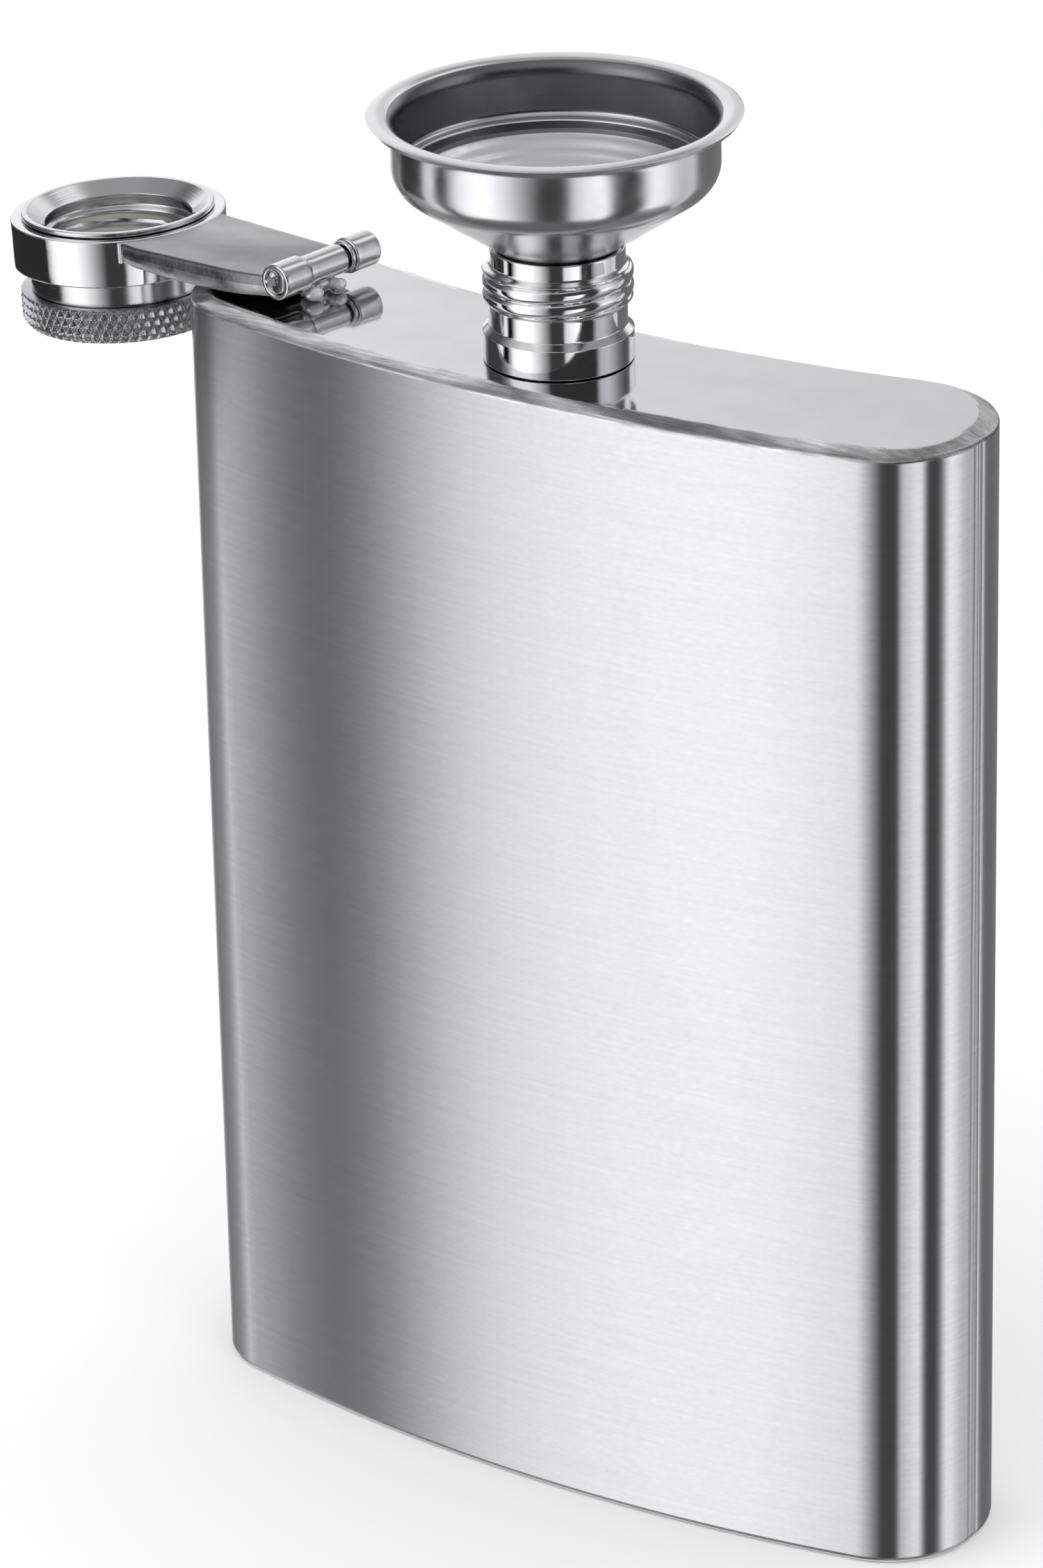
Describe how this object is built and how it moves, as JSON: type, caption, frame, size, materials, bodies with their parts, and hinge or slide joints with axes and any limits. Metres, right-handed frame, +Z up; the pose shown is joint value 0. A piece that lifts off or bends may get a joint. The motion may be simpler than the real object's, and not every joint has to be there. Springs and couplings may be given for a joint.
{
  "type": "hip flask",
  "caption": "Curved steel hip flask with a hinged captive screw cap that swings over a threaded neck, and a lift-out filling funnel.",
  "frame": {"origin": "centre of the flat base", "axes": "+Z up through the neck, +X along the width, -Y out of the bowed front face; the opened lid lies towards -X"},
  "size_m": [0.1233, 0.0392, 0.1523],
  "materials": {
    "body_steel": "fine brushed grain running round the body, satin",
    "mirror_steel": "mirror polish, with a hand-ground edge",
    "polished_steel": "turned and polished",
    "pin_steel": "drawn wire, satin",
    "arm_steel": "rolled sheet, smooth satin",
    "cap_steel": "turned, with fine tool marks",
    "knurled_steel": "diamond knurl",
    "funnel_steel": "spun sheet, polished outside",
    "seal_plastic": "soft washer, matt"
  },
  "bodies": {
    "flask": {"body_shell": "body_steel", "top_plate": "mirror_steel", "bottom_plate": "body_steel", "neck": "polished_steel", "hinge_barrel": "polished_steel"},
    "lid": {"lid_arm": "arm_steel", "guide_ring": "polished_steel", "hinge_pin": "pin_steel"},
    "seal": {"cap_seal": "seal_plastic"},
    "cap": {"cap_barrel": "cap_steel", "cap_knob": "knurled_steel"},
    "funnel": {"funnel_bowl": "funnel_steel", "funnel_spout": "funnel_steel"}
  },
  "joints": [
    {"name": "lid_swing", "type": "hinge", "parent": "flask", "child": "lid", "pos_m": [-0.03253, 0.00416, 0.1288], "axis": [0.1305, 0.9914, 0], "range_deg": [0, 183]},
    {"name": "cap_slide", "type": "slide", "parent": "lid", "child": "seal", "axis": [-0.0519, 0.0068, 0.9986], "range_m": [0, 0.00116]},
    {"name": "cap_turn", "type": "hinge", "parent": "seal", "child": "cap", "pos_m": [-0.06411, 0.00832, 0.12713], "axis": [-0.0519, 0.0068, 0.9986], "range_deg": [0, 276]},
    {"name": "funnel_lift", "type": "slide", "parent": "flask", "child": "funnel", "axis": [0, 0, 1], "range_m": [0, 0.075]}
  ],
  "couplings": [
    {"joint": "cap_slide", "follows": "cap_turn", "m_per_rad": 0.00023873},
    {"joint": "lid_swing", "follows": "funnel_lift", "rad_per_m": 42.58}
  ]
}
